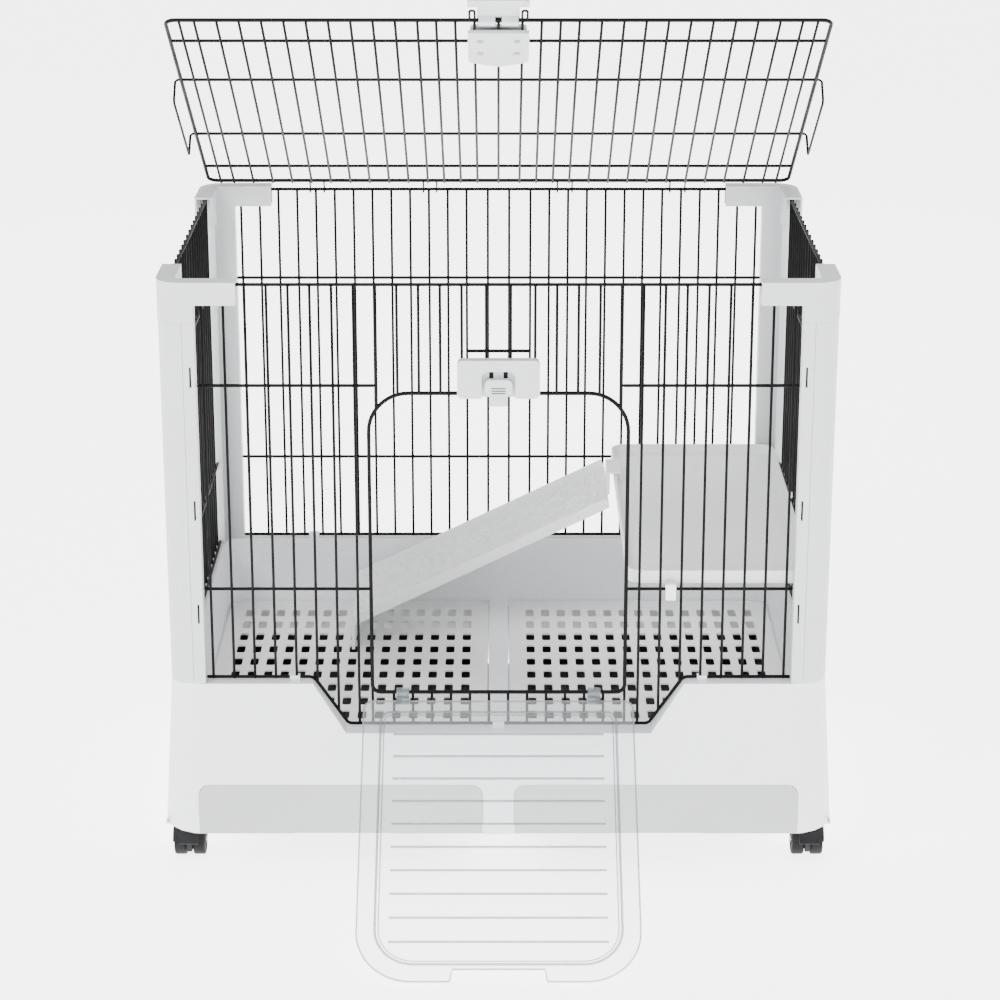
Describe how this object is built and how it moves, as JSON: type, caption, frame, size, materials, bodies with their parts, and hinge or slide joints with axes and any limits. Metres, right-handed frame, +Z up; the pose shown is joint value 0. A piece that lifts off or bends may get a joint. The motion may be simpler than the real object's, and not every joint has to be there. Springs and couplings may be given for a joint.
{
  "type": "wire rabbit cage",
  "caption": "Wire small-animal cage on casters with a lift-up lid, a drop-down ramp door, an inside shelf and ramp, and pull-out trays.",
  "frame": {"origin": "middle of the bounding box's bottom face, on the floor", "axes": "+Z up, the cage's front and open door towards -Y, +X to the right seen from the front"},
  "size_m": [0.838, 0.8918, 1.0778],
  "materials": {
    "tub_white": "satin moulded plastic",
    "post_white": "satin moulded plastic",
    "tray_grey": "satin moulded plastic",
    "floor_warm_grey": "satin moulded plastic",
    "wire_black": "black coated steel wire",
    "door_clear": "clear polished plastic",
    "caster_charcoal": "charcoal nylon",
    "screw_steel": "plain steel"
  },
  "bodies": {
    "cage": {"base_tub": "tub_white", "floor_grid_left": "floor_warm_grey", "floor_grid_right": "floor_warm_grey", "post_channel_fl": "post_white", "post_cover_fl": "post_white", "cap_fl": "post_white", "post_channel_fr": "post_white", "post_cover_fr": "post_white", "cap_fr": "post_white", "post_channel_rl": "post_white", "post_cover_rl": "post_white", "cap_rl": "post_white", "post_channel_rr": "post_white", "post_cover_rr": "post_white", "cap_rr": "post_white", "front_panel": "wire_black", "rear_panel": "wire_black", "left_panel": "wire_black", "right_panel": "wire_black", "door_latch_housing": "post_white", "door_latch_back": "post_white", "shelf": "post_white", "door_latch_screw_1": "screw_steel", "door_latch_screw_2": "screw_steel"},
    "lid": {"lid_panel": "wire_black", "lid_latch_plate": "post_white", "lid_latch_back": "post_white", "lid_latch_screw_1": "screw_steel", "lid_latch_screw_2": "screw_steel", "lid_latch_screw_3": "screw_steel", "lid_latch_screw_4": "screw_steel"},
    "lid_latch_flap": {"lid_latch_flap": "post_white"},
    "door": {"door_panel": "door_clear"},
    "door_slider": {"door_latch_slider": "post_white"},
    "tray_left": {"tray_left": "tray_grey"},
    "tray_right": {"tray_right": "tray_grey"},
    "ramp": {"ramp": "post_white"},
    "caster_fl": {"caster_hood_fl": "caster_charcoal"},
    "wheels_fl": {"caster_axle_fl": "screw_steel", "caster_wheel_fl_in": "caster_charcoal", "caster_wheel_fl_out": "caster_charcoal"},
    "caster_fr": {"caster_hood_fr": "caster_charcoal"},
    "wheels_fr": {"caster_axle_fr": "screw_steel", "caster_wheel_fr_in": "caster_charcoal", "caster_wheel_fr_out": "caster_charcoal"},
    "caster_rl": {"caster_hood_rl": "caster_charcoal"},
    "wheels_rl": {"caster_axle_rl": "screw_steel", "caster_wheel_rl_in": "caster_charcoal", "caster_wheel_rl_out": "caster_charcoal"},
    "caster_rr": {"caster_hood_rr": "caster_charcoal"},
    "wheels_rr": {"caster_axle_rr": "screw_steel", "caster_wheel_rr_in": "caster_charcoal", "caster_wheel_rr_out": "caster_charcoal"},
    "brake_fl": {"brake_lever_fl": "caster_charcoal"},
    "brake_fr": {"brake_lever_fr": "caster_charcoal"}
  },
  "joints": [
    {"name": "lid_hinge", "type": "hinge", "parent": "cage", "child": "lid", "pos_m": [0, 0.41844, 0.752], "axis": [-1, 0, 0], "range_deg": [-32.9, 69]},
    {"name": "lid_latch_flap_hinge", "type": "hinge", "parent": "lid", "child": "lid_latch_flap", "pos_m": [0, -0.02194, 1.04702], "axis": [1, 0, 0], "range_deg": [0, 70]},
    {"name": "door_hinge", "type": "hinge", "parent": "cage", "child": "door", "pos_m": [0, -0.12156, 0.2355], "axis": [-1, 0, 0], "range_deg": [0, 124]},
    {"name": "door_latch_slide", "type": "slide", "parent": "cage", "child": "door_slider", "axis": [0, 0, 1], "range_m": [0, 0.007]},
    {"name": "tray_left_slide", "type": "slide", "parent": "cage", "child": "tray_left", "axis": [0, -1, 0], "range_m": [0, 0.12]},
    {"name": "tray_right_slide", "type": "slide", "parent": "cage", "child": "tray_right", "axis": [0, -1, 0], "range_m": [0, 0.12]},
    {"name": "ramp_pivot", "type": "hinge", "parent": "cage", "child": "ramp", "pos_m": [0.157, 0.29844, 0.3935], "axis": [0, 1, 0], "range_deg": [0, 14]},
    {"name": "caster_fl_swivel", "type": "hinge", "parent": "cage", "child": "caster_fl", "pos_m": [-0.391, -0.09656, 0.05], "axis": [0, 0, 1], "continuous": true},
    {"name": "wheels_fl_roll", "type": "hinge", "parent": "caster_fl", "child": "wheels_fl", "pos_m": [-0.391, -0.08456, 0.02], "axis": [1, 0, 0], "continuous": true},
    {"name": "brake_fl_pedal", "type": "hinge", "parent": "caster_fl", "child": "brake_fl", "pos_m": [-0.391, -0.11006, 0.0395], "axis": [-1, 0, 0], "range_deg": [0, 15]},
    {"name": "caster_fr_swivel", "type": "hinge", "parent": "cage", "child": "caster_fr", "pos_m": [0.391, -0.09656, 0.05], "axis": [0, 0, 1], "continuous": true},
    {"name": "wheels_fr_roll", "type": "hinge", "parent": "caster_fr", "child": "wheels_fr", "pos_m": [0.391, -0.08456, 0.02], "axis": [1, 0, 0], "continuous": true},
    {"name": "brake_fr_pedal", "type": "hinge", "parent": "caster_fr", "child": "brake_fr", "pos_m": [0.391, -0.11006, 0.0395], "axis": [-1, 0, 0], "range_deg": [0, 15]},
    {"name": "caster_rl_swivel", "type": "hinge", "parent": "cage", "child": "caster_rl", "pos_m": [-0.391, 0.39344, 0.05], "axis": [0, 0, 1], "continuous": true},
    {"name": "wheels_rl_roll", "type": "hinge", "parent": "caster_rl", "child": "wheels_rl", "pos_m": [-0.391, 0.40544, 0.02], "axis": [1, 0, 0], "continuous": true},
    {"name": "caster_rr_swivel", "type": "hinge", "parent": "cage", "child": "caster_rr", "pos_m": [0.391, 0.39344, 0.05], "axis": [0, 0, 1], "continuous": true},
    {"name": "wheels_rr_roll", "type": "hinge", "parent": "caster_rr", "child": "wheels_rr", "pos_m": [0.391, 0.40544, 0.02], "axis": [1, 0, 0], "continuous": true}
  ]
}
